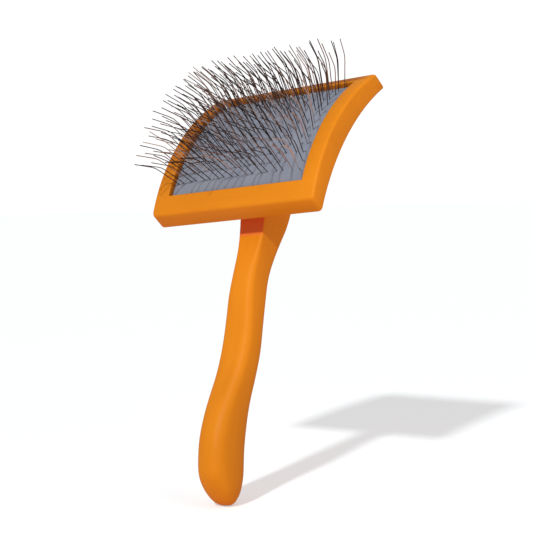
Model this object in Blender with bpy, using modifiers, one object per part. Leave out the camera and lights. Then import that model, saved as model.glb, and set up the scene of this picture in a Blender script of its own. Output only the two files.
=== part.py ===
"""Slicker brush: a pad of bent wire pins in a curved head, held on the head's hollow back by an S-shaped handle.

Frame: the origin is the middle of the head's bottom end face, the flat face that the brush hangs on.
+Z runs up the handle's length, +X along the head's long side, and the pins point towards -Y.
The head leans back from the handle, so it is modelled in its own upright frame (X along, Y to the back,
Z up its chord) and hung on an empty that leans. Metres and degrees throughout.
"""

import math

import bmesh
import bpy
from mathutils import Matrix, Vector

# Head: a board bent along its length, with a pocket for the pad in its bulging front.
HEAD_LENGTH = 0.120
HEAD_CHORD = 0.098  # straight height from end face to end face
HEAD_END_THICKNESS = 0.0108
TOP_OVERHANG = 0.0  # the top end face's front edge stands this much above its middle, its back edge below
FRONT_RADIUS = 0.119
BACK_RADIUS = 0.147
HEAD_LEAN = 25.0  # angle between the head's chord and the handle
HEAD_EDGE_ROUND = 0.0016
ARC_STEPS = 16

# Rim around the pocket, measured along the front, and the layers in the pocket, from the rim inwards.
RIM_SIDE = 0.0104
RIM_BOTTOM = 0.0122
RIM_TOP = 0.0082
PAD_RECESS = 0.0028
FOUNDATION_THICKNESS = 0.0018
CROWN_SPACE = 0.0010
UNDERLAY_THICKNESS = 0.0018
PAD_CROWN = 0.0030  # how far the middle of the pad swells above its edges
PAD_STEPS_X = 16
PAD_STEPS_ARC = 12

# Pins: U-shaped wire staples in rows, each leg bent at a knee.
ROWS = 14
FIRST_ROW_MARGIN = 0.0078  # from the pocket's bottom wall to the first row
LAST_ROW_MARGIN = 0.0020082  # from the last row to the pocket's top wall
STAPLES_PER_ROW = 9
SIDE_MARGIN = 0.00535  # from the pocket's side walls to a centred row's outermost legs
LEG_SPACING = 0.0041
FIRST_ROW_SHIFT = -0.0004
ROW_DRIFT = -0.0002  # each row stands this much further along X than the row below
ROW_STAGGER = 0.0005
WIRE = 0.00045
LEG_TO_KNEE = 0.0190  # above the pad's face
KNEE_TO_TIP = 0.0135
KNEE_ANGLE = 35.0
BOTTOM_LEAN = 5.0  # lean of the bottom row's legs towards the top of the head
TOP_LEAN = 7.0  # and of the top row's
LEFT_SPLAY = 19.0  # sideways lean of the legs at the pad's left end
RIGHT_SPLAY = 28.0  # and at its right end

# Handle: one solid lofted through rounded sections.
HANDLE_DROP = 0.1592  # from the hanging face down to the butt
BUTT_START = 0.888  # where the rounded end begins, as a share of the drop
BUTT_SHIFT = 0.0065  # the round end's middle moves back by this
CORNER_STEPS = 4
SECTION_SPACING = 0.0048
# Each section: level, front face, back face, width, front corner radius, back corner radius.
# Levels above 0 are shares of the height of the head's middle, and those below are shares of the drop.
# Front and back are distances behind the middle of the head's front chord.
HANDLE_SECTIONS = (
    (1.28, -0.0090, 0.0179, 0.0225, 0.0004, 0.0040),
    (1.07, -0.0070, 0.0209, 0.0225, 0.0004, 0.0050),
    (0.81, -0.0037, 0.0234, 0.0218, 0.0004, 0.0052),
    (0.55, -0.0019, 0.0243, 0.0206, 0.0006, 0.0042),
    (0.30, -0.0007, 0.0238, 0.0194, 0.0008, 0.0026),
    (0.06, 0.0001, 0.0216, 0.0183, 0.0008, 0.0014),
    (-0.045, 0.0009, 0.0183, 0.0178, 0.0012, 0.0014),
    (-0.106, -0.0002, 0.0163, 0.0169, 0.0026, 0.0026),
    (-0.182, -0.0023, 0.0146, 0.0166, 0.0040, 0.0040),
    (-0.273, -0.0027, 0.0143, 0.0183, 0.0046, 0.0046),
    (-0.363, -0.0012, 0.0143, 0.0202, 0.0050, 0.0050),
    (-0.459, -0.0009, 0.0150, 0.0208, 0.0052, 0.0052),
    (-0.555, -0.0031, 0.0145, 0.0200, 0.0056, 0.0056),
    (-0.646, -0.0071, 0.0136, 0.0193, 0.0062, 0.0062),
    (-0.727, -0.0099, 0.0142, 0.0192, 0.0070, 0.0070),
    (-0.808, -0.0105, 0.0153, 0.0196, 0.0075, 0.0075),
    (-0.888, -0.0084, 0.0176, 0.0202, 0.0080, 0.0080),
)

# Screws that hold the handle's foot to the back of the head, driven from the floor of the pocket.
SCREW_OFFSETS = (-0.0070, 0.0090)  # above the head's middle
SCREW_LENGTH = 0.0165
SCREW_RADIUS = 0.00175
SCREW_HEAD_RADIUS = 0.0035
SCREW_HEAD_HEIGHT = 0.0020
SCREW_POINT = 0.0030
SCREW_SINK = 0.0006  # the head's top lies this far under the pocket's floor
SLOT_WIDTH = 0.0009
SLOT_DEPTH = 0.0010
ROUND_STEPS = 20

GAP = 0.0003  # between faces that touch on the real brush

# Derived places. CENTRE_Y and BACK_CENTRE_Y are the arcs' centres in the head's own frame.
HALF_CHORD = HEAD_CHORD / 2
CENTRE_Y = -HEAD_END_THICKNESS / 2 + math.sqrt(FRONT_RADIUS**2 - HALF_CHORD**2)
BACK_CENTRE_Y = HEAD_END_THICKNESS / 2 + math.sqrt(BACK_RADIUS**2 - HALF_CHORD**2)
END_ANGLE = math.asin(HALF_CHORD / FRONT_RADIUS)
POCKET_LOW = -END_ANGLE + RIM_BOTTOM / FRONT_RADIUS
POCKET_HIGH = END_ANGLE - RIM_TOP / FRONT_RADIUS
POCKET_HALF_LENGTH = HEAD_LENGTH / 2 - RIM_SIDE
PAD_RADIUS = FRONT_RADIUS - PAD_RECESS
UNDERLAY_RADIUS = PAD_RADIUS - FOUNDATION_THICKNESS - CROWN_SPACE
FLOOR_RADIUS = UNDERLAY_RADIUS - UNDERLAY_THICKNESS - GAP
PAD_LOW = POCKET_LOW + GAP / PAD_RADIUS
PAD_HIGH = POCKET_HIGH - GAP / PAD_RADIUS
PAD_HALF_LENGTH = POCKET_HALF_LENGTH - GAP
ROW_PITCH = ((POCKET_HIGH - POCKET_LOW) * PAD_RADIUS - FIRST_ROW_MARGIN - LAST_ROW_MARGIN) / (ROWS - 1)
STAPLE_PITCH = (2 * (POCKET_HALF_LENGTH - SIDE_MARGIN) - LEG_SPACING) / (STAPLES_PER_ROW - 1)
LEAN = Matrix.Rotation(math.radians(-HEAD_LEAN), 4, "X")
HEAD_MIDDLE = LEAN @ Vector((0, -HEAD_END_THICKNESS / 2, HALF_CHORD))
BACK_CENTRE = LEAN @ Vector((0, BACK_CENTRE_Y, HALF_CHORD))


def clear_scene():
    for item in list(bpy.data.objects):
        bpy.data.objects.remove(item, do_unlink=True)


def make_collection(name):
    made = bpy.data.collections.new(name)
    bpy.context.scene.collection.children.link(made)
    return made


def make_material(name, colour, roughness, metallic=0.0):
    made = bpy.data.materials.new(name)
    made.use_nodes = True
    shader = made.node_tree.nodes["Principled BSDF"]
    shader.inputs["Base Color"].default_value = (*colour, 1.0)
    shader.inputs["Roughness"].default_value = roughness
    shader.inputs["Metallic"].default_value = metallic
    return made


def add_object(name, mesh, collection, material=None, parent=None):
    made = bpy.data.objects.new(name, mesh)
    collection.objects.link(made)
    made.parent = parent
    if material:
        mesh.materials.append(material)
    return made


def mesh_from(bm, name):
    mesh = bpy.data.meshes.new(name)
    bm.to_mesh(mesh)
    bm.free()
    return mesh


def hide_cutter(cutter):
    cutter.hide_render = True
    cutter.display_type = "WIRE"


def cut(target, cutter):
    modifier = target.modifiers.new("Cut " + cutter.name, "BOOLEAN")
    modifier.operation = "DIFFERENCE"
    modifier.solver = "EXACT"
    modifier.object = cutter


def shade(mesh, angle=30.0):
    mesh.shade_smooth()
    mesh.set_sharp_from_angle(angle=math.radians(angle))


def front_point(radius, angle):
    """Place on an arc about the front's centre, in the head's frame: (back, up)."""
    return (CENTRE_Y - radius * math.cos(angle), HALF_CHORD + radius * math.sin(angle))


def back_point(angle):
    """Place on the hollow back's arc, in the head's frame: (back, up)."""
    return (
        BACK_CENTRE_Y - BACK_RADIUS * math.cos(angle),
        HALF_CHORD + BACK_RADIUS * math.sin(angle),
    )


def spaced(low, high, steps):
    return [low + (high - low) * i / steps for i in range(steps + 1)]


def slab(name, outline, half_length):
    """A (back, up) outline filled and drawn out both ways along X."""
    curve = bpy.data.curves.new(name, "CURVE")
    curve.dimensions = "2D"
    curve.fill_mode = "BOTH"
    curve.extrude = half_length
    spline = curve.splines.new("POLY")
    spline.points.add(len(outline) - 1)
    for point, (back, up) in zip(spline.points, outline, strict=True):
        point.co = (back, up, 0, 1)
    spline.use_cyclic_u = True
    drawn = bpy.data.objects.new(name + "_outline", curve)
    bpy.context.scene.collection.objects.link(drawn)
    depsgraph = bpy.context.evaluated_depsgraph_get()
    mesh = bpy.data.meshes.new_from_object(drawn.evaluated_get(depsgraph))
    bpy.data.objects.remove(drawn, do_unlink=True)
    bm = bmesh.new()
    bm.from_mesh(mesh)
    bpy.data.meshes.remove(mesh)
    bmesh.ops.remove_doubles(bm, verts=bm.verts, dist=1e-6)
    # the curve's own x, y and z become the head's Y, Z and X
    turn = Matrix(((0, 0, 1, 0), (1, 0, 0, 0), (0, 1, 0, 0), (0, 0, 0, 1)))
    bmesh.ops.transform(bm, matrix=turn, verts=bm.verts)
    bmesh.ops.dissolve_limit(bm, angle_limit=0.001, verts=bm.verts, edges=bm.edges)
    bmesh.ops.recalc_face_normals(bm, faces=bm.faces)
    return mesh_from(bm, name)


def head_outline():
    top_front = math.asin((HALF_CHORD + TOP_OVERHANG) / FRONT_RADIUS)
    top_back = math.asin((HALF_CHORD - TOP_OVERHANG) / BACK_RADIUS)
    bottom_back = math.asin(HALF_CHORD / BACK_RADIUS)
    front = [front_point(FRONT_RADIUS, a) for a in spaced(-END_ANGLE, top_front, ARC_STEPS)]
    return front + [back_point(a) for a in spaced(top_back, -bottom_back, ARC_STEPS)]


def pocket_outline():
    angles = spaced(POCKET_LOW, POCKET_HIGH, ARC_STEPS)
    proud = FRONT_RADIUS + HEAD_END_THICKNESS
    outer = [front_point(proud, a) for a in angles]
    return outer + [front_point(FLOOR_RADIUS, a) for a in reversed(angles)]


def make_head(collection, cutters, leaning, material):
    head = add_object("head_block", slab("head_block", head_outline(), HEAD_LENGTH / 2), collection,
                      material, leaning)
    rounding = head.modifiers.new("Outer edges", "BEVEL")
    rounding.width = HEAD_EDGE_ROUND
    rounding.segments = 2
    rounding.limit_method = "ANGLE"
    rounding.angle_limit = math.radians(40)
    pocket = add_object("pocket_cutter", slab("pocket_cutter", pocket_outline(), POCKET_HALF_LENGTH),
                        cutters, parent=leaning)
    hide_cutter(pocket)
    cut(head, pocket)
    return head


def pad_crown(x, angle):
    """Height of the swell over the pad's edges: flat in the middle and rounding down to each side."""
    across = min(1.0, abs(x) / PAD_HALF_LENGTH)
    middle = (PAD_LOW + PAD_HIGH) / 2
    along = min(1.0, abs(angle - middle) / ((PAD_HIGH - PAD_LOW) / 2))
    return PAD_CROWN * (1 - across**4) * (1 - along**4)


def pad_sheet(name, radius):
    """An open sheet over the pocket, bent to a radius about the front's centre and swelling in its middle."""
    bm = bmesh.new()
    bmesh.ops.create_grid(bm, x_segments=PAD_STEPS_X, y_segments=PAD_STEPS_ARC, size=1.0)
    for vert in bm.verts:
        x = vert.co.x * PAD_HALF_LENGTH
        angle = PAD_LOW + (vert.co.y + 1) / 2 * (PAD_HIGH - PAD_LOW)
        back, up = front_point(radius + pad_crown(x, angle), angle)
        vert.co = (x, back, up)
    bmesh.ops.recalc_face_normals(bm, faces=bm.faces)
    if sum(face.normal.y for face in bm.faces) > 0:
        bmesh.ops.reverse_faces(bm, faces=bm.faces)
    return mesh_from(bm, name)


def make_foundation(collection, cutters, leaning, material):
    sheet = add_object("pad_foundation", pad_sheet("pad_foundation", PAD_RADIUS), collection, material,
                       leaning)
    shell = sheet.modifiers.new("Thickness", "SOLIDIFY")
    shell.thickness = FOUNDATION_THICKNESS
    shell.offset = -1.0
    holes = add_object("leg_hole_cutter", leg_hole_mesh(), cutters, parent=leaning)
    hide_cutter(holes)
    cut(sheet, holes)
    return sheet


def make_underlay(collection, leaning, material):
    """Felt block: its floor side follows the pocket's floor and its face follows the swelling pad."""
    bm = bmesh.new()
    bmesh.ops.create_cube(bm, size=2.0)
    inner = [edge for edge in bm.edges if abs(edge.verts[0].co.x - edge.verts[1].co.x) > 1]
    bmesh.ops.subdivide_edges(bm, edges=inner, cuts=PAD_STEPS_X - 1, use_grid_fill=True)
    inner = [edge for edge in bm.edges if abs(edge.verts[0].co.y - edge.verts[1].co.y) > 1]
    bmesh.ops.subdivide_edges(bm, edges=inner, cuts=PAD_STEPS_ARC - 1, use_grid_fill=True)
    for vert in bm.verts:
        x = vert.co.x * PAD_HALF_LENGTH
        angle = PAD_LOW + (vert.co.y + 1) / 2 * (PAD_HIGH - PAD_LOW)
        radius = FLOOR_RADIUS + GAP
        if vert.co.z > 0:
            radius = UNDERLAY_RADIUS + pad_crown(x, angle)
        back, up = front_point(radius, angle)
        vert.co = (x, back, up)
    bmesh.ops.recalc_face_normals(bm, faces=bm.faces)
    return add_object("pad_underlay", mesh_from(bm, "pad_underlay"), collection, material, leaning)


def row_angle(row):
    return POCKET_LOW + (FIRST_ROW_MARGIN + row * ROW_PITCH) / PAD_RADIUS


def leg_places(row):
    """X of each leg in a row, two to a staple, symmetric about the row's own middle."""
    middle = FIRST_ROW_SHIFT + row * ROW_DRIFT + ROW_STAGGER * (1 if row % 2 else -1)
    first = middle - (STAPLES_PER_ROW - 1) * STAPLE_PITCH / 2
    return [
        first + staple * STAPLE_PITCH + side * LEG_SPACING / 2
        for staple in range(STAPLES_PER_ROW)
        for side in (-1, 1)
    ]


def leg_direction(row, x, bend):
    """Unit direction of a leg in its row's frame (X along, Y up the head, Z straight out of the pad)."""
    lean = BOTTOM_LEAN + (TOP_LEAN - BOTTOM_LEAN) * row / ROWS
    tilt = math.radians(lean - bend)
    splay = math.radians(RIGHT_SPLAY if x > 0 else -LEFT_SPLAY) * (x / PAD_HALF_LENGTH) ** 2
    return Vector((math.tan(splay), math.tan(tilt), 1.0)).normalized()


def crown_height(x, angle):
    """Height of the wire under the foundation, over the pad's base arc."""
    return pad_crown(x, angle) - FOUNDATION_THICKNESS - CROWN_SPACE / 2


def row_matrix(row):
    angle = row_angle(row)
    back, up = front_point(PAD_RADIUS, angle)
    return Matrix.Translation((0, back, up)) @ Matrix.Rotation(math.pi / 2 - angle, 4, "X")


def leg_hole_mesh():
    """One square cutter for each leg, along the leg and through the foundation."""
    bm = bmesh.new()
    side = WIRE + 2 * GAP
    reach = 2 * FOUNDATION_THICKNESS
    for row in range(ROWS):
        for x in leg_places(row):
            direction = leg_direction(row, x, 0)
            foot = Vector((x, 0, crown_height(x, row_angle(row))))
            middle = foot + direction * (CROWN_SPACE / 2 + FOUNDATION_THICKNESS / 2)
            turn = Vector((0, 0, 1)).rotation_difference(direction).to_matrix().to_4x4()
            size = Matrix.Diagonal((side, side, reach, 1))
            place = row_matrix(row) @ Matrix.Translation(middle) @ turn @ size
            bmesh.ops.create_cube(bm, size=1.0, matrix=place)
    return mesh_from(bm, "leg_hole_cutter")


def pin_row_mesh(row):
    """A row of staples in the row's frame. One wire under the foundation joins their crowns."""
    places = leg_places(row)
    angle = row_angle(row)
    half = WIRE / 2
    bm = bmesh.new()
    length = places[-1] - places[0] + WIRE
    middle = (places[-1] + places[0]) / 2
    box = Matrix.Translation((middle, 0, 0)) @ Matrix.Diagonal((length, WIRE, WIRE, 1))
    bmesh.ops.create_cube(bm, size=1.0, matrix=box)
    for x in places:
        for edge_x in (x - half, x + half):
            if places[0] < edge_x < places[-1]:
                bmesh.ops.bisect_plane(bm, geom=bm.verts[:] + bm.edges[:] + bm.faces[:], dist=1e-7,
                                       plane_co=(edge_x, 0, 0), plane_no=(1, 0, 0))
    for vert in bm.verts:
        vert.co.z += crown_height(vert.co.x, angle)
    tops = []
    for x in places:
        near = [f for f in bm.faces if f.normal.z > 0.5 and abs(f.calc_center_median().x - x) < half / 2]
        tops.append((x, near[0]))
    for bend, reach in ((0.0, LEG_TO_KNEE), (KNEE_ANGLE, KNEE_TO_TIP)):
        grown = []
        for x, face in tops:
            top = bmesh.ops.extrude_discrete_faces(bm, faces=[face])["faces"][0]
            step = leg_direction(row, x, bend) * reach
            if bend == 0.0:
                step += leg_direction(row, x, 0) * (FOUNDATION_THICKNESS + CROWN_SPACE / 2 - half)
            bmesh.ops.translate(bm, verts=top.verts, vec=step)
            grown.append((x, top))
        tops = grown
    bmesh.ops.recalc_face_normals(bm, faces=bm.faces)
    return mesh_from(bm, f"pin_row_{row + 1:02d}")


def make_pin_rows(collection, leaning, material):
    for row in range(ROWS):
        pins = add_object(f"pin_row_{row + 1:02d}", pin_row_mesh(row), collection, material, leaning)
        place = row_matrix(row)
        pins.location = place.to_translation()
        pins.rotation_euler = place.to_euler()


def blend(knots, level):
    """Value at a level on a smooth curve through (level, value) knots, which run from high to low."""
    levels = [k[0] for k in knots]
    i = max(0, min(len(knots) - 2, sum(1 for at in levels if at >= level) - 1))
    (x1, y1), (x2, y2) = knots[i], knots[i + 1]
    x0, y0 = knots[max(i - 1, 0)]
    x3, y3 = knots[min(i + 2, len(knots) - 1)]
    slope1 = (y2 - y0) / (x2 - x0)
    slope2 = (y3 - y1) / (x3 - x1)
    step = x2 - x1
    t = (level - x1) / step
    return (
        (2 * t**3 - 3 * t**2 + 1) * y1
        + (t**3 - 2 * t**2 + t) * step * slope1
        + (3 * t**2 - 2 * t**3) * y2
        + (t**3 - t**2) * step * slope2
    )


def head_back_y(z):
    """Y of the head's hollow back at a height, in the brush's frame."""
    return BACK_CENTRE.y - math.sqrt(BACK_RADIUS**2 - (z - BACK_CENTRE.z) ** 2)


def section_height(level):
    return level * (HEAD_MIDDLE.z if level > 0 else HANDLE_DROP)


def handle_section(z):
    """Front, back, width and corner radii of the handle at a height above the round end."""
    heights = [section_height(s[0]) for s in HANDLE_SECTIONS]
    values = [blend([(h, s[i]) for h, s in zip(heights, HANDLE_SECTIONS, strict=True)], z)
              for i in range(1, 6)]
    front, back, width, front_round, back_round = values
    front += HEAD_MIDDLE.y
    back += HEAD_MIDDLE.y
    if z > 0:
        front = max(front, head_back_y(z) + GAP)
    return front, back, width, front_round, back_round


def round_end_section(z):
    """A section of the butt, which closes in from the last section along an ellipse."""
    start = -BUTT_START * HANDLE_DROP
    front, back, width, front_round, _ = handle_section(start)
    share = (start - z) / (HANDLE_DROP - BUTT_START * HANDLE_DROP)
    deep = math.sqrt(1 - share**2)
    wide = (1 - share**3) ** (1 / 3)
    middle = (front + back) / 2 + BUTT_SHIFT * share**1.5
    half = (back - front) / 2 * deep
    corner = front_round + (0.48 * min(width * wide, 2 * half) - front_round) * share
    return middle - half, middle + half, width * wide, corner, corner


def ring(z, section):
    """Corner-rounded rectangle of points at one height."""
    front, back, width, front_round, back_round = section
    limit = 0.49 * min(width, back - front)
    front_round = min(front_round, limit)
    back_round = min(back_round, limit)
    half = width / 2
    corners = (
        (half - front_round, front + front_round, front_round, -90),
        (half - back_round, back - back_round, back_round, 0),
        (-half + back_round, back - back_round, back_round, 90),
        (-half + front_round, front + front_round, front_round, 180),
    )
    points = []
    for x, y, radius, turn in corners:
        for i in range(CORNER_STEPS + 1):
            angle = math.radians(turn + 90 * i / CORNER_STEPS)
            points.append(Vector((x + radius * math.cos(angle), y + radius * math.sin(angle), z)))
    return points


def make_handle(collection, material):
    top = section_height(HANDLE_SECTIONS[0][0])
    start = -BUTT_START * HANDLE_DROP
    steps = round((top - start) / SECTION_SPACING)
    rings = [ring(z, handle_section(z)) for z in spaced(top, start, steps)]
    for share in (0.25, 0.45, 0.62, 0.76, 0.87, 0.945, 0.985, 0.998):
        z = start - share * (HANDLE_DROP + start)
        rings.append(ring(z, round_end_section(z)))
    bm = bmesh.new()
    loops = []
    for points in rings:
        verts = [bm.verts.new(p) for p in points]
        loops.append([bm.edges.new((a, b)) for a, b in zip(verts, verts[1:] + verts[:1], strict=True)])
    for upper, lower in zip(loops, loops[1:], strict=False):
        bmesh.ops.bridge_loops(bm, edges=upper + lower)
    for loop in (loops[0], loops[-1]):
        bmesh.ops.contextual_create(bm, geom=loop)
    bmesh.ops.recalc_face_normals(bm, faces=bm.faces)
    mesh = mesh_from(bm, "handle")
    shade(mesh)
    return add_object("handle", mesh, collection, material)


def turned(name, profile, collection, material=None, parent=None):
    """A profile of (radius, height) points, top to bottom, turned about Z."""
    bm = bmesh.new()
    verts = [bm.verts.new((radius, 0, height)) for radius, height in profile]
    for upper, lower in zip(verts, verts[1:], strict=False):
        bm.edges.new((upper, lower))
    made = add_object(name, mesh_from(bm, name), collection, material, parent)
    spin = made.modifiers.new("Turn", "SCREW")
    spin.steps = ROUND_STEPS
    spin.render_steps = ROUND_STEPS
    spin.use_merge_vertices = True
    spin.merge_threshold = 0.00001
    return made


def screw_profile(clearance):
    """Countersunk wood screw, head up at height 0, or the hole for it with a clearance all round."""
    neck = -SCREW_HEAD_HEIGHT
    point = -SCREW_LENGTH + SCREW_POINT
    rise = SCREW_SINK + CROWN_SPACE if clearance else 0.0
    return (
        (0, rise),
        (SCREW_HEAD_RADIUS + clearance, rise),
        (SCREW_HEAD_RADIUS + clearance, -SLOT_WIDTH / 4 - clearance / 2),
        (SCREW_RADIUS + clearance, neck - clearance / 2),
        (SCREW_RADIUS + clearance, point),
        (0, -SCREW_LENGTH - clearance),
    )


def make_screws(collection, cutters, leaning, material, head, handle):
    floor_y = CENTRE_Y - FLOOR_RADIUS
    # the screw's own Z, from its point to its head, lies along the head's -Y
    turn = (math.pi / 2, 0, 0)
    for number, offset in enumerate(SCREW_OFFSETS, start=1):
        place = (0, floor_y + SCREW_SINK, HALF_CHORD + offset)
        screw = turned(f"neck_screw_{number}", screw_profile(0), collection, material, leaning)
        screw.location = place
        screw.rotation_euler = turn
        bm = bmesh.new()
        size = Matrix.Diagonal((3 * SCREW_HEAD_RADIUS, SLOT_WIDTH, 2 * SLOT_DEPTH, 1))
        bmesh.ops.create_cube(bm, size=1.0, matrix=size)
        slot = add_object(f"screw_slot_cutter_{number}", mesh_from(bm, f"screw_slot_{number}"), cutters,
                          parent=screw)
        hide_cutter(slot)
        cut(screw, slot)
        hole = turned(f"screw_hole_cutter_{number}", screw_profile(GAP), cutters, parent=leaning)
        hole.location = place
        hole.rotation_euler = turn
        hide_cutter(hole)
        cut(head, hole)
        cut(handle, hole)


def main():
    clear_scene()
    brush = make_collection("slicker_brush")
    cutters = make_collection("cutters")
    paint = make_material("orange_paint", (0.84, 0.27, 0.016), 0.45)
    rubber = make_material("pad_rubber", (0.33, 0.36, 0.47), 0.7)
    felt = make_material("felt", (0.55, 0.52, 0.47), 0.95)
    steel = make_material("pin_wire", (0.17, 0.15, 0.14), 0.35, 0.9)
    zinc = make_material("screw_zinc", (0.62, 0.60, 0.52), 0.4, 1.0)
    leaning = bpy.data.objects.new("head_lean", None)
    brush.objects.link(leaning)
    leaning.rotation_euler = (math.radians(-HEAD_LEAN), 0, 0)
    head = make_head(brush, cutters, leaning, paint)
    handle = make_handle(brush, paint)
    make_underlay(brush, leaning, felt)
    make_foundation(brush, cutters, leaning, rubber)
    make_pin_rows(brush, leaning, steel)
    make_screws(brush, cutters, leaning, zinc, head, handle)
    bpy.context.view_layer.update()


main()
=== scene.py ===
# %% [markdown]
# # A slicker brush, piece by piece
# A slicker brush is a grooming tool: hundreds of fine bent wires stand in a soft pad, the pad sits in a
# pocket in a curved wooden head, and a long carved handle carries the head.
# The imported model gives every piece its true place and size. This lesson keeps those sizes and gives each
# piece the finish and the small detail that a real brush has.

# %% Load the frame
import math
import random

import bmesh
import bpy
from mathutils import Matrix, Vector


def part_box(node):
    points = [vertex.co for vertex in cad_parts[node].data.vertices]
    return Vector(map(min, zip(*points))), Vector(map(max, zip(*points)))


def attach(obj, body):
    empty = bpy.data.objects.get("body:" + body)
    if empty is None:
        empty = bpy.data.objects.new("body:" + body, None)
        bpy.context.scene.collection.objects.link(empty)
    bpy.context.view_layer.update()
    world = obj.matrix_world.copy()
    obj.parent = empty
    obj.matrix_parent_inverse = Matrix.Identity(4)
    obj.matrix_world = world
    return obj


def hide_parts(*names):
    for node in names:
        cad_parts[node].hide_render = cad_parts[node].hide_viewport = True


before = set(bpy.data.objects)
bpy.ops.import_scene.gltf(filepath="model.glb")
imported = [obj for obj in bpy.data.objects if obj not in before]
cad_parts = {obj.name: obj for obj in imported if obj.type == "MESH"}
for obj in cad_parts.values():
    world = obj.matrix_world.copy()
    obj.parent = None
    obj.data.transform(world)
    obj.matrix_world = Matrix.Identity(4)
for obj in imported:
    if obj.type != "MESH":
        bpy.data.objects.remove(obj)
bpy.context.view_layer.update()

# %% [markdown]
# ## The shared measures
# The head was bent over a former, so its front, its pocket floor and its pad all share one arc centre.
# We work in the head's own upright frame (X along the head, Y to the back, Z up its chord) and lean every
# finished mesh by 25 degrees at the end. All lengths are metres.

# %% Head and pad measures
HALF_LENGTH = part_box("head_block")[1].x
HALF_CHORD = 0.049
FRONT_RADIUS = 0.119
BACK_RADIUS = 0.147
END_THICKNESS = 0.0108
RIM_SIDE = 0.0104
RIM_BOTTOM = 0.0122
RIM_TOP = 0.0082
PAD_RADIUS = FRONT_RADIUS - 0.0028
FOUNDATION = 0.0018
FLOOR_RADIUS = PAD_RADIUS - 0.0049
PAD_CROWN = 0.0030
GAP = 0.0003
LEAN = Matrix.Rotation(math.radians(-25.0), 4, "X")

CENTRE_Y = -END_THICKNESS / 2 + math.sqrt(FRONT_RADIUS**2 - HALF_CHORD**2)
BACK_CENTRE_Y = END_THICKNESS / 2 + math.sqrt(BACK_RADIUS**2 - HALF_CHORD**2)
END_ANGLE = math.asin(HALF_CHORD / FRONT_RADIUS)
POCKET_LOW = -END_ANGLE + RIM_BOTTOM / FRONT_RADIUS
POCKET_HIGH = END_ANGLE - RIM_TOP / FRONT_RADIUS
POCKET_HALF = HALF_LENGTH - RIM_SIDE


def arc_point(radius, angle, x=0.0):
    """A place at a radius and angle about the head's arc centre."""
    return Vector((x, CENTRE_Y - radius * math.cos(angle), HALF_CHORD + radius * math.sin(angle)))


print("pocket, mm:", round(POCKET_HALF * 2000, 1), "by",
      round((POCKET_HIGH - POCKET_LOW) * FRONT_RADIUS * 1000, 1))

# %% [markdown]
# ## Two small helpers
# Every piece ends the same way: its mesh gets a material, it rides on the brush's only body, and the CAD
# nodes it stands for are hidden.


# %% Finish a piece
def finish_piece(bm, name, material, slot, *nodes, sharp=40.0):
    mesh = bpy.data.meshes.new(name)
    bm.to_mesh(mesh)
    bm.free()
    mesh.shade_smooth()
    mesh.set_sharp_from_angle(angle=math.radians(sharp))
    mesh.materials.append(material)
    piece = bpy.data.objects.new(name, mesh)
    bpy.context.scene.collection.objects.link(piece)
    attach(piece, "root")
    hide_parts(*nodes)
    print(f"{name}: {len(mesh.polygons)} faces")
    return piece


# %% Start a material
class Finish:
    """A Principled material and short ways to add nodes to it."""

    def __init__(self, name, **inputs):
        self.material = bpy.data.materials.new(name)
        self.material.use_nodes = True
        self.tree = self.material.node_tree
        self.shader = self.tree.nodes["Principled BSDF"]
        self.place = self.tree.nodes.new("ShaderNodeTexCoord").outputs["Object"]
        for key, value in inputs.items():
            self.shader.inputs[key.replace("_", " ")].default_value = value

    def node(self, kind, **settings):
        made = self.tree.nodes.new("ShaderNode" + kind)
        for key, value in settings.items():
            setattr(made, key, value)
        return made

    def link(self, source, target):
        self.tree.links.new(source, target)

    def stretched(self, scale):
        """The piece's own coordinates, stretched by a scale for each axis."""
        mapping = self.node("Mapping")
        mapping.inputs["Scale"].default_value = scale
        self.link(self.place, mapping.inputs["Vector"])
        return mapping.outputs["Vector"]

    def noise(self, scale, detail=3.0, place=None):
        made = self.node("TexNoise")
        made.inputs["Scale"].default_value = scale
        made.inputs["Detail"].default_value = detail
        self.link(place or self.place, made.inputs["Vector"])
        return made.outputs["Fac"]

    def ramp(self, source, *stops):
        """A colour for each (position, colour) stop."""
        made = self.node("ValToRGB")
        made.color_ramp.elements[0].position = stops[0][0]
        made.color_ramp.elements[0].color = (*stops[0][1], 1)
        made.color_ramp.elements[1].position = stops[-1][0]
        made.color_ramp.elements[1].color = (*stops[-1][1], 1)
        for position, colour in stops[1:-1]:
            made.color_ramp.elements.new(position).color = (*colour, 1)
        self.link(source, made.inputs["Fac"])
        return made.outputs["Color"]

    def ranged(self, source, low, high, start=0.3, end=0.7):
        """A pattern's values from start to end, moved to run from low to high."""
        made = self.node("MapRange")
        made.inputs["From Min"].default_value = start
        made.inputs["From Max"].default_value = end
        made.inputs["To Min"].default_value = low
        made.inputs["To Max"].default_value = high
        self.link(source, made.inputs["Value"])
        return made.outputs["Result"]

    def bump(self, *layers):
        """Bumps laid one over another, each a (pattern, strength, depth in metres)."""
        normal = None
        for pattern, strength, depth in layers:
            made = self.node("Bump")
            made.inputs["Strength"].default_value = strength
            made.inputs["Distance"].default_value = depth
            self.link(pattern, made.inputs["Height"])
            if normal:
                self.link(normal, made.inputs["Normal"])
            normal = made.outputs["Normal"]
        self.link(normal, self.shader.inputs["Normal"])


# %% [markdown]
# ## Orange paint
# The wood is sprayed with a soft satin paint. It isn't one flat colour: the coat is thicker in some places,
# the grain underneath telegraphs through as faint long streaks, and a fine orange peel breaks up highlights.
# The streaks run along the handle and across the head, so there are two finishes made by one recipe. Shade is
# painted into the colour: a dark red on the neck where the head's shadow falls, and a deep red-brown in the
# head's pocket and over its rims; an attribute on each mesh says how much.


# %% Paint recipe
LOW_TONE_BELOW = -0.150
FULL_TONE_ABOVE = -0.030


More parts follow.
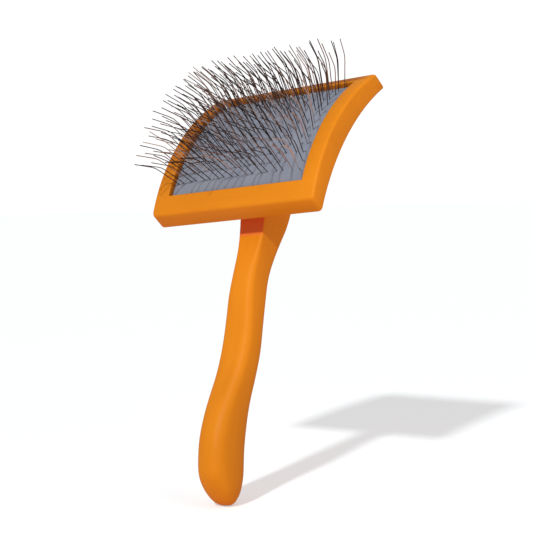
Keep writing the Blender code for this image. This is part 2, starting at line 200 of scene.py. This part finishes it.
def paint(name, streak_scale, shade_colour, low_tone):
    made = Finish(name, Specular_IOR_Level=0.14, Coat_Weight=0.02, Coat_Roughness=0.5)
    clouds = made.noise(28.0, 2.0)
    streaks = made.noise(1.0, 3.0, made.stretched(streak_scale))
    peel = made.noise(1500.0, 2.0)
    colour = made.ramp(clouds, (0.3, (0.80, 0.265, 0.007)), (0.7, (0.86, 0.290, 0.009)))
    darker = made.ramp(streaks, (0.35, (0.93, 0.90, 0.88)), (0.6, (1.0, 1.0, 1.0)))
    mixed = made.node("Mix", data_type="RGBA", blend_type="MULTIPLY")
    mixed.inputs["Factor"].default_value = 0.6
    made.link(colour, mixed.inputs["A"])
    made.link(darker, mixed.inputs["B"])
    # Painted shade: the shade colour is mixed in as far as the mesh's attribute asks.
    shade_mix = made.node("Mix", data_type="RGBA")
    painted_shade = made.node("Attribute", attribute_name="painted_shade")
    made.link(painted_shade.outputs["Fac"], shade_mix.inputs["Factor"])
    height = made.node("SeparateXYZ")
    made.link(made.place, height.inputs["Vector"])
    # The handle's colour is made a little darker towards its butt.
    rise = made.ranged(height.outputs["Z"], 0.0, 1.0, LOW_TONE_BELOW, FULL_TONE_ABOVE)
    tone = made.ramp(rise, (0.0, low_tone), (1.0, (1.0, 1.0, 1.0)))
    toned = made.node("Mix", data_type="RGBA", blend_type="MULTIPLY")
    toned.inputs["Factor"].default_value = 1.0
    made.link(mixed.outputs["Result"], toned.inputs["A"])
    made.link(tone, toned.inputs["B"])
    made.link(toned.outputs["Result"], shade_mix.inputs["A"])
    shade_mix.inputs["B"].default_value = (*shade_colour, 1.0)
    made.link(shade_mix.outputs["Result"], made.shader.inputs["Base Color"])
    made.link(made.ranged(clouds, 0.46, 0.56), made.shader.inputs["Roughness"])
    made.bump((streaks, 0.12, 0.0003), (peel, 0.05, 0.0002))
    return made.material


# The last colour of each paint is painted shade: dark red for the head's shadow on the neck, deep red-brown
# for the pocket and rims.
handle_paint = paint("orange_paint_handle", (160.0, 160.0, 9.0), (0.85, 0.15, 0.045), (0.92, 0.92, 1.0))
head_paint = paint("orange_paint_head", (9.0, 160.0, 160.0), (0.15, 0.016, 0.002), (1.0, 1.0, 1.0))

# %% [markdown]
# ## The handle
# The handle is carved, with a square neck that softens into a round grip. The CAD solid already has the
# right curves, so we merge a copy of its loose triangles, pair them back into quads and let a subdivision
# surface round off the last facets. The front of the neck lies under the head, in the head's shadow, which is
# painted on it in dark red, so it's cut at a few levels and the painted shadow fades out over the lowest of
# them.

# %% Smooth the handle
# Painted shadow: the top of the neck's front is coloured dark red, fading out below the lowest cuts.
SHADOW_LEVELS = (0.0, -0.0020, -0.0040, -0.0055, -0.0070, -0.0082)
SHADOW_FADES_FROM = -0.0060
SHADOW_FADE = 0.0020
SHADOW_DEPTH = 0.85
bm = bmesh.new()
bm.from_mesh(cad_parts["handle"].data)
bmesh.ops.remove_doubles(bm, verts=bm.verts, dist=1e-6)
for level in SHADOW_LEVELS:
    bmesh.ops.bisect_plane(bm, geom=bm.verts[:] + bm.edges[:] + bm.faces[:], dist=1e-7,
                           plane_co=(0, 0, level), plane_no=(0, 0, 1))
bmesh.ops.join_triangles(bm, faces=bm.faces, angle_face_threshold=math.radians(30),
                         angle_shape_threshold=math.radians(60))
handle = finish_piece(bm, "handle_carved", handle_paint, "paint", "handle", sharp=60.0)
painted_shade = handle.data.attributes.new("painted_shade", "FLOAT", "CORNER")
for face in handle.data.polygons:
    for corner in face.loop_indices:
        level = handle.data.vertices[handle.data.loops[corner].vertex_index].co.z
        shade_mix = 1.0 - max(0.0, min(1.0, (SHADOW_FADES_FROM - level) / SHADOW_FADE))
        painted_shade.data[corner].value = SHADOW_DEPTH * shade_mix if face.normal.y < -0.7 else 0.0
smoothing = handle.modifiers.new("Round the facets", "SUBSURF")
smoothing.levels = 1
smoothing.render_levels = 1

# %% [markdown]
# ## The head
# The head is a bent board with a pocket in its bulging front. It starts as a cube whose Z is read as an
# angle round the arc: cuts mark out the pocket, the pocket's faces are pushed in, and then one pass over
# the corners bends the whole board. Its edges are rounded last, in real millimetres.

# %% Cut and bend the board
ARC_CUTS = 40
CLEAR_OF_RIM = 0.004
CLEAR_OF_ENDS = 0.03
bm = bmesh.new()
bmesh.ops.create_cube(bm, size=2.0)
bmesh.ops.scale(bm, vec=(HALF_LENGTH, 1.0, END_ANGLE), verts=bm.verts)


def cut_across(bm, place, normal):
    everything = bm.verts[:] + bm.edges[:] + bm.faces[:]
    bmesh.ops.bisect_plane(bm, geom=everything, dist=1e-7, plane_co=place, plane_no=normal)


for x in (-POCKET_HALF, POCKET_HALF):
    cut_across(bm, (x, 0, 0), (1, 0, 0))
for angle in (POCKET_LOW, POCKET_HIGH):
    cut_across(bm, (0, 0, angle), (0, 0, 1))
for i in range(1, ARC_CUTS):
    angle = -END_ANGLE + 2 * END_ANGLE * i / ARC_CUTS
    clear_of_rim = min(abs(angle - POCKET_LOW), abs(angle - POCKET_HIGH)) > CLEAR_OF_RIM
    if clear_of_rim and END_ANGLE - abs(angle) > CLEAR_OF_ENDS:
        cut_across(bm, (0, 0, angle), (0, 0, 1))

# %% Push in the pocket
pocket = []
for face in bm.faces:
    middle = face.calc_center_median()
    inside = abs(middle.x) < POCKET_HALF and POCKET_LOW < middle.z < POCKET_HIGH
    if inside and middle.y < -0.99:
        pocket.append(face)
pushed = bmesh.ops.extrude_face_region(bm, geom=pocket)
bmesh.ops.delete(bm, geom=pocket, context="FACES")
for vert in pushed["geom"]:
    if isinstance(vert, bmesh.types.BMVert):
        vert.co.y = 0.0
for vert in bm.verts:
    x, depth, angle = vert.co
    if depth < -0.5:
        vert.co = arc_point(FRONT_RADIUS, angle, x)
    elif depth < 0.5:
        vert.co = arc_point(FLOOR_RADIUS, angle, x)
    else:
        up = FRONT_RADIUS * math.sin(angle)
        vert.co = (x, BACK_CENTRE_Y - math.sqrt(BACK_RADIUS**2 - up**2), HALF_CHORD + up)
bmesh.ops.recalc_face_normals(bm, faces=bm.faces)


# %% Round the board's edges
RIM_ROUND = 0.0007
CORNER_ROUND = 0.0026
FRONT_ROUND = 0.0015
BACK_ROUND = 0.0012


def at_chord_end(vert):
    return abs(abs(vert.co.z - HALF_CHORD) - HALF_CHORD) < 1e-5


def on_outside(vert):
    return abs(vert.co.x) > HALF_LENGTH - 1e-5 or at_chord_end(vert)


def convex(edge):
    return len(edge.link_faces) == 2 and edge.calc_face_angle_signed(0.0) > math.radians(40)


def round_edges(bm, edges, width, segments):
    bmesh.ops.bevel(bm, geom=edges, offset=width, offset_type="OFFSET", segments=segments, profile=0.5,
                    affect="EDGES", material=-1)


def at_corner(edge):
    ends = [v.co for v in edge.verts]
    return all(abs(co.x) > HALF_LENGTH - 1e-5 for co in ends) and all(at_chord_end(v) for v in edge.verts)


rim = [e for e in bm.edges if convex(e) and not (on_outside(e.verts[0]) or on_outside(e.verts[1]))]
round_edges(bm, rim, RIM_ROUND, 3)
round_edges(bm, [e for e in bm.edges if at_corner(e)], CORNER_ROUND, 5)


def outer_edges(at_front):
    """The board's outline edges, round its front or round its back. The pocket's rim is already soft."""
    chosen = []
    for edge in bm.edges:
        co = edge.verts[0].co
        in_front = math.hypot(co.y - CENTRE_Y, co.z - HALF_CHORD) > FRONT_RADIUS - 1e-4
        if convex(edge) and in_front == at_front:
            chosen.append(edge)
    return chosen


round_edges(bm, outer_edges(True), FRONT_ROUND, 4)
round_edges(bm, outer_edges(False), BACK_ROUND, 4)

# %% Say where shade is painted
# Painted shade: the pocket gets darker the deeper it lies below the front.
SHADE_REACH = 0.0016
RIM_PIN_SHADOW = 0.5
shade_amounts = {}
for vert in bm.verts:
    radius = math.hypot(vert.co.y - CENTRE_Y, vert.co.z - HALF_CHORD)
    inside = abs(vert.co.x) < POCKET_HALF + 1e-4 and POCKET_LOW - 0.002 < math.asin(
        (vert.co.z - HALF_CHORD) / radius) < POCKET_HIGH + 0.002 and radius > FLOOR_RADIUS - 1e-5
    shade_amounts[vert.index] = min(1.0, max(0.0, (FRONT_RADIUS - radius) / SHADE_REACH)) if inside else 0.0
    # The left and top rims are darkened too, as painted shadow of the wires standing over them.
    up = math.asin((vert.co.z - HALF_CHORD) / radius) / END_ANGLE
    on_left_rim = vert.co.x < -POCKET_HALF + 1e-3 and radius > FRONT_RADIUS - 0.001
    on_top_rim = up > 0.8 and vert.co.x < POCKET_HALF
    if on_left_rim or on_top_rim:
        shade_amounts[vert.index] = max(shade_amounts[vert.index], RIM_PIN_SHADOW * min(1.0, max(0.0, 0.9 + up)))
bmesh.ops.transform(bm, matrix=LEAN, verts=bm.verts)
head = finish_piece(bm, "head_board", head_paint, "paint", "head_block")
painted_shade = head.data.attributes.new("painted_shade", "FLOAT", "POINT")
for index, depth in shade_amounts.items():
    painted_shade.data[index].value = depth

# %% [markdown]
# ## The pad
# The wires are set in a laminate of cloth with a rubber face, stretched over a felt underlay, so its middle
# swells and its edges dip towards the rim. The rubber is matt, with a faint woven texture from the cloth
# beneath it. Around each wire the rubber is pulled in slightly.

# %% Rubber and felt
rubber = Finish("grey_blue_rubber", Roughness=0.72)
weave_across = rubber.node("TexWave", wave_type="BANDS", bands_direction="X")
weave_up = rubber.node("TexWave", wave_type="BANDS", bands_direction="Z")
for wave in (weave_across, weave_up):
    wave.inputs["Scale"].default_value = 480.0
    rubber.link(rubber.place, wave.inputs["Vector"])
weave = rubber.node("Math", operation="MULTIPLY")
rubber.link(weave_across.outputs["Fac"], weave.inputs[0])
rubber.link(weave_up.outputs["Fac"], weave.inputs[1])
clouds = rubber.noise(60.0, 4.0)
tint = rubber.ramp(clouds, (0.3, (0.226, 0.262, 0.332)), (0.7, (0.272, 0.310, 0.380)))
rubber.link(tint, rubber.shader.inputs["Base Color"])
rubber.bump((clouds, 0.25, 0.0006), (weave.outputs["Value"], 0.20, 0.00008))

felt = Finish("pressed_felt", Roughness=0.95)
fibres = felt.noise(900.0, 5.0)
felt.link(felt.ramp(fibres, (0.3, (0.42, 0.39, 0.35)), (0.7, (0.62, 0.59, 0.54))),
          felt.shader.inputs["Base Color"])
felt.bump((fibres, 0.6, 0.0004))

# %% Where the wires stand
ROWS = 14
ROW_PITCH = 0.0053
FIRST_ROW = 0.0078
STAPLES = 9
STAPLE_PITCH = 0.01055
LEG_SPACING = 0.0041


def row_angle(row):
    return POCKET_LOW + (FIRST_ROW + row * ROW_PITCH) / PAD_RADIUS


def staple_middle(row, staple):
    stagger = 0.0005 if row % 2 else -0.0005
    middle = -0.0004 - 0.0002 * row + stagger
    return middle + (staple - (STAPLES - 1) / 2) * STAPLE_PITCH


def crown(x, angle):
    """How far the pad swells above its edges at a place."""
    across = min(1.0, abs(x) / POCKET_HALF)
    middle = (POCKET_LOW + POCKET_HIGH) / 2
    along = min(1.0, abs(angle - middle) / ((POCKET_HIGH - POCKET_LOW) / 2))
    return PAD_CROWN * (1 - across**4) * (1 - along**4)


FEET = [(staple_middle(row, staple) + side * LEG_SPACING / 2, row_angle(row))
        for row in range(ROWS) for staple in range(STAPLES) for side in (-1, 1)]
print(len(FEET), "wire legs in", ROWS, "rows")


# %% Shape the pad's two layers
def pad_layer(top_radius, bottom_radius, steps, dimples):
    """A closed block between two arcs, its top swelling with the pad and dipping at the wires."""
    bm = bmesh.new()
    bmesh.ops.create_cube(bm, size=2.0)
    for i in range(1, steps):
        cut_across(bm, (-1 + 2 * i / steps, 0, 0), (1, 0, 0))
        cut_across(bm, (0, 0, -1 + 2 * i / steps), (0, 0, 1))
    half_angle = (POCKET_HIGH - POCKET_LOW) / 2 - GAP / PAD_RADIUS
    for vert in bm.verts:
        x = vert.co.x * (POCKET_HALF - GAP)
        angle = (POCKET_LOW + POCKET_HIGH) / 2 + vert.co.z * half_angle
        swell = crown(x, angle)
        if vert.co.y > 0:
            vert.co = arc_point(bottom_radius + (swell if dimples else 0), angle, x)
            continue
        if dimples:
            for foot_x, foot_angle in FEET:
                away = (x - foot_x) ** 2 + ((angle - foot_angle) * PAD_RADIUS) ** 2
                if away < 0.0022**2:
                    swell -= 0.00028 * math.exp(-away / 0.0008**2)
        vert.co = arc_point(top_radius + swell, angle, x)
    round_edges(bm, [e for e in bm.edges if convex(e)], 0.0004, 2)
    bmesh.ops.recalc_face_normals(bm, faces=bm.faces)
    bmesh.ops.transform(bm, matrix=LEAN, verts=bm.verts)
    return bm


face = finish_piece(pad_layer(PAD_RADIUS, PAD_RADIUS - FOUNDATION, 110, True), "pad_face",
                    rubber.material, "pad_rubber", "pad_foundation")
underlay = finish_piece(pad_layer(PAD_RADIUS - 0.0028, FLOOR_RADIUS + GAP, 24, False), "felt_underlay",
                        felt.material, "felt", "pad_underlay")

# %% [markdown]
# ## The wires
# Each staple is one length of round steel wire: down one leg, along the crown under the pad, and up the other
# leg. Every leg has a knee over half way up. No two wires on a used machine come out alike, so
# each one gets a small lean and bend of its own, and a few are visibly kinked.
# A ring of six points is extruded along the wire's path, turning with it, which keeps each staple to a few
# dozen faces. Each leg carries a random number that its finish reads, so the wires differ in tone from nearly
# black to bright; the brown in the colour is a painted reflection of the orange head, and the bright flecks
# are painted glints.

# %% Wire finish
wire_steel = Finish("dark_drawn_wire", Metallic=0.9)
flecks = wire_steel.noise(700.0, 3.0)
tone = wire_steel.node("Attribute", attribute_name="tone")
mottled = wire_steel.node("Math", operation="MULTIPLY_ADD")
wire_steel.link(flecks, mottled.inputs[0])
mottled.inputs[1].default_value = 0.25
wire_steel.link(tone.outputs["Fac"], mottled.inputs[2])
# Painted reflection and glints: the brown stops stand for the orange head seen in the wire, the brightest for
# glints.
tone_and_glints = wire_steel.ramp(mottled.outputs["Value"], (0.10, (0.035, 0.030, 0.028)),
                         (0.50, (0.12, 0.090, 0.080)), (0.75, (0.40, 0.25, 0.20)), (0.95, (0.85, 0.78, 0.74)))
wire_steel.link(tone_and_glints, wire_steel.shader.inputs["Base Color"])
wire_steel.link(wire_steel.ranged(flecks, 0.26, 0.40), wire_steel.shader.inputs["Roughness"])
wire_steel.bump((flecks, 0.1, 0.00005))

# %% Path of one staple
WIRE_RADIUS = 0.00027
TO_KNEE = 0.0190
TO_TIP = 0.0135
KNEE_BEND = 35.0
BOTTOM_LEAN = 5.0
TOP_LEAN = 7.0
LEFT_SPLAY = 19.0
RIGHT_SPLAY = 28.0
SOFT_KNEE = 0.0030
KINKED_SHARE = 0.05
KINKED_SPREAD = 3.2
draw = random.Random(7)


def leg_direction(row, x, bend, wobble):
    """Unit direction of a leg in its row's frame: X along, Y up the head, Z out of the pad."""
    lean = BOTTOM_LEAN + (TOP_LEAN - BOTTOM_LEAN) * row / ROWS + wobble[0]
    splay = (RIGHT_SPLAY if x > 0 else -LEFT_SPLAY) * (x / POCKET_HALF) ** 2 + wobble[1]
    return Vector((math.tan(math.radians(splay)), math.tan(math.radians(lean - bend)), 1.0)).normalized()


def leg_path(row, x):
    """Points up one leg, from just under the pad's face to the tip."""
    kinked = draw.random() < KINKED_SHARE
    spread = KINKED_SPREAD if kinked else 1.0
    wobble = (draw.gauss(0, 1.0) * spread, draw.gauss(-1.0, 1.2) * spread)
    knee_wobble = (wobble[0] + draw.gauss(5, 3.4) * spread, wobble[1] + draw.gauss(0, 2.6) * spread)
    foot = Vector((x, 0, crown(x, row_angle(row)) - FOUNDATION - 0.0005))
    straight = leg_direction(row, x, 0, wobble)
    bent = leg_direction(row, x, KNEE_BEND, knee_wobble)
    knee = foot + straight * (TO_KNEE + FOUNDATION + draw.gauss(0, 0.0009))
    tip = knee + bent * (TO_TIP + draw.gauss(0, 0.0006))
    points = [foot, foot + straight * (FOUNDATION + 0.006)]
    for share in (0.0, 0.5, 1.0):
        before = knee - straight * SOFT_KNEE * (1 - share)
        after = knee + bent * SOFT_KNEE * share
        points.append(before.lerp(after, share))
    points.append(tip)
    return points


# %% Draw out the wire
def extrude_wire(bm, points):
    """One closed wire along the points."""
    heading = (points[1] - points[0]).normalized()
    turn = Vector((0, 0, 1)).rotation_difference(heading).to_matrix().to_4x4()
    ring = bmesh.ops.create_circle(bm, segments=6, radius=WIRE_RADIUS, cap_ends=True,
                                   matrix=Matrix.Translation(points[0]) @ turn)["verts"]
    edges = list({e for v in ring for e in v.link_edges})
    for i, point in enumerate(points[1:], start=1):
        onward = points[i + 1] - points[i] if i + 1 < len(points) else point - points[i - 1]
        new_heading = ((point - points[i - 1]).normalized() + onward.normalized()).normalized()
        swing = heading.rotation_difference(new_heading).to_matrix().to_4x4()
        grown = bmesh.ops.extrude_edge_only(bm, edges=edges)["geom"]
        ring = [g for g in grown if isinstance(g, bmesh.types.BMVert)]
        edges = [g for g in grown if isinstance(g, bmesh.types.BMEdge)]
        step = Matrix.Translation(point) @ swing @ Matrix.Translation(-points[i - 1])
        bmesh.ops.transform(bm, matrix=step, verts=ring)
        heading = new_heading
    tip_face = bmesh.ops.contextual_create(bm, geom=edges)["faces"]
    bmesh.ops.inset_individual(bm, faces=tip_face, thickness=WIRE_RADIUS * 0.4, depth=WIRE_RADIUS * 0.4)


def staple_path(row, staple):
    middle = staple_middle(row, staple)
    left = leg_path(row, middle - LEG_SPACING / 2)
    right = leg_path(row, middle + LEG_SPACING / 2)
    return left[::-1] + right


for row in range(ROWS):
    bm = bmesh.new()
    for staple in range(STAPLES):
        extrude_wire(bm, staple_path(row, staple))
    bmesh.ops.recalc_face_normals(bm, faces=bm.faces)
    angle = row_angle(row)
    stand = Matrix.Translation(arc_point(PAD_RADIUS, angle)) @ Matrix.Rotation(math.pi / 2 - angle, 4, "X")
    bmesh.ops.transform(bm, matrix=LEAN @ stand, verts=bm.verts)
    wires = finish_piece(bm, f"wires_{row + 1:02d}", wire_steel.material, "pin_wire",
                         f"pin_row_{row + 1:02d}", sharp=70.0)
    tones = wires.data.attributes.new("tone", "FLOAT", "POINT")
    leg_points = len(wires.data.vertices) / (STAPLES * 2)
    leg_tones = [draw.random() for _ in range(STAPLES * 2)]
    for index in range(len(wires.data.vertices)):
        tones.data[index].value = 0.85 * leg_tones[int(index / leg_points)]

# %% [markdown]
# ## The screws
# Two countersunk screws hold the handle to the head from inside the pocket. The pad hides them, so the CAD
# solids stay as they are and only get a zinc finish: bright metal under a faint cloudy plating.

# %% Zinc on the screws
zinc = Finish("zinc_plating", Metallic=1.0)
plating = zinc.noise(350.0, 3.0)
zinc.link(zinc.ramp(plating, (0.3, (0.55, 0.53, 0.46)), (0.7, (0.70, 0.69, 0.62))),
          zinc.shader.inputs["Base Color"])
zinc.link(zinc.ranged(plating, 0.30, 0.45), zinc.shader.inputs["Roughness"])
for name in ("neck_screw_1", "neck_screw_2"):
    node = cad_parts[name]
    node.data.materials.clear()
    node.data.materials.append(zinc.material)
    print(name, "has its zinc finish")

# %% [markdown]
# ## Floor, light and camera
# The brush stands on its butt on a white table, tipped a little towards the viewer. In the brush's own frame
# that makes the table slope, so its plane is given by its upward direction. The table shows only its top, so
# views from below aren't blocked by it. It also has two looks: plain white where it's seen, and a warm tint
# where light bounces off it, which warms the brush's underside. A broad soft sun from the upper left front
# gives the long pale shadow, a small panel brightens the right-hand side, and an even white sky fills the
# rest.

# %% Floor
FLOOR_UP = Vector((0.0822, -0.3427, 0.9358)).normalized()
lowest = min(FLOOR_UP.dot(v.co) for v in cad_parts["handle"].data.vertices)
bm = bmesh.new()
level = Vector((0, 0, 1)).rotation_difference(FLOOR_UP).to_matrix().to_4x4()
bmesh.ops.create_circle(bm, segments=96, radius=6.0, cap_ends=True,
                        matrix=Matrix.Translation(FLOOR_UP * lowest) @ level)
floor_mesh = bpy.data.meshes.new("table_top")
bm.to_mesh(floor_mesh)
bm.free()
floor = bpy.data.objects.new("table_top", floor_mesh)
bpy.context.scene.collection.objects.link(floor)
table_white = Finish("white_table", Roughness=0.9, Specular_IOR_Level=0.1)
bounce = table_white.ramp(table_white.noise(40.0), (0.3, (0.90, 0.70, 0.62)), (0.7, (0.91, 0.71, 0.63)))
table_white.link(bounce, table_white.shader.inputs["Base Color"])
side = table_white.node("NewGeometry")
ray = table_white.node("LightPath")
shown = table_white.node("AddShader")
glow = table_white.node("Emission")
glow.inputs["Color"].default_value = (1.0, 1.0, 1.0, 1.0)
glow.inputs["Strength"].default_value = 0.375
dimmer = table_white.node("BsdfDiffuse")
dimmer.inputs["Color"].default_value = (0.83, 0.89, 0.91, 1.0)
table_white.link(glow.outputs["Emission"], shown.inputs[0])
table_white.link(dimmer.outputs["BSDF"], shown.inputs[1])
bright = table_white.node("MixShader")
table_white.link(ray.outputs["Is Camera Ray"], bright.inputs["Fac"])
table_white.link(table_white.shader.outputs["BSDF"], bright.inputs[1])
table_white.link(shown.outputs["Shader"], bright.inputs[2])
one_way = table_white.node("MixShader")
table_white.link(side.outputs["Backfacing"], one_way.inputs["Fac"])
table_white.link(bright.outputs["Shader"], one_way.inputs[1])
table_white.link(table_white.node("BsdfTransparent").outputs["BSDF"], one_way.inputs[2])
table_white.link(one_way.outputs["Shader"], table_white.tree.nodes["Material Output"].inputs["Surface"])
floor_mesh.materials.append(table_white.material)
print("the table lies", round(-lowest * 1000, 1), "mm below the head's bottom face")

# %% Light
TOWARDS_SUN = Vector((0.2581, -0.9183, 0.3001))
sun = bpy.data.objects.new("sun", bpy.data.lights.new("sun", "SUN"))
sun.data.energy = 1.80
sun.data.angle = math.radians(4.0)
sun.rotation_euler = TOWARDS_SUN.to_track_quat("Z", "Y").to_euler()
bpy.context.scene.collection.objects.link(sun)
fill = bpy.data.objects.new("fill", bpy.data.lights.new("fill", "AREA"))
fill.data.energy = 0.26
fill.data.size = 0.25
fill.data.color = (1.0, 0.90, 0.92)
fill.location = (0.36, -0.10, 0.14)
fill.rotation_euler = Vector((0.36, -0.10, 0.09)).to_track_quat("Z", "Y").to_euler()
fill.visible_camera = False
bpy.context.scene.collection.objects.link(fill)

world = bpy.data.worlds.new("white_sky")
bpy.context.scene.world = world
world.use_nodes = True
sky = world.node_tree.nodes["Background"]
sky.inputs["Color"].default_value = (1.0, 0.93, 0.92, 1.0)
sky.inputs["Strength"].default_value = 0.38
seen = world.node_tree.nodes.new("ShaderNodeBackground")
seen.inputs["Strength"].default_value = 1.05
ray = world.node_tree.nodes.new("ShaderNodeLightPath")
either = world.node_tree.nodes.new("ShaderNodeMixShader")
world.node_tree.links.new(ray.outputs["Is Camera Ray"], either.inputs["Fac"])
world.node_tree.links.new(sky.outputs["Background"], either.inputs[1])
world.node_tree.links.new(seen.outputs["Background"], either.inputs[2])
world.node_tree.links.new(either.outputs["Shader"], world.node_tree.nodes["World Output"].inputs["Surface"])
seen.inputs["Color"].default_value = (1.0, 1.0, 1.0, 1.0)
bpy.context.scene.view_settings.view_transform = "Standard"

# %% Camera
CAMERA_SPOT = Vector((0.5490, -0.5887, -0.2357))
CAMERA_LOOKS = Vector((-0.64017, 0.72616, 0.25075))
CAMERA_UP = Vector((0.05869, -0.27922, 0.95843))
camera = bpy.data.objects.new("camera", bpy.data.cameras.new("camera"))
bpy.context.scene.collection.objects.link(camera)
back = -CAMERA_LOOKS.normalized()
right = CAMERA_UP.cross(back).normalized()
turn = Matrix((right, back.cross(right), back)).transposed().to_4x4()
camera.matrix_world = Matrix.Translation(CAMERA_SPOT) @ turn
camera.data.lens = 100.82
camera.data.clip_end = 50.0
bpy.context.scene.camera = camera

# %% Update the scene
bpy.context.view_layer.update()
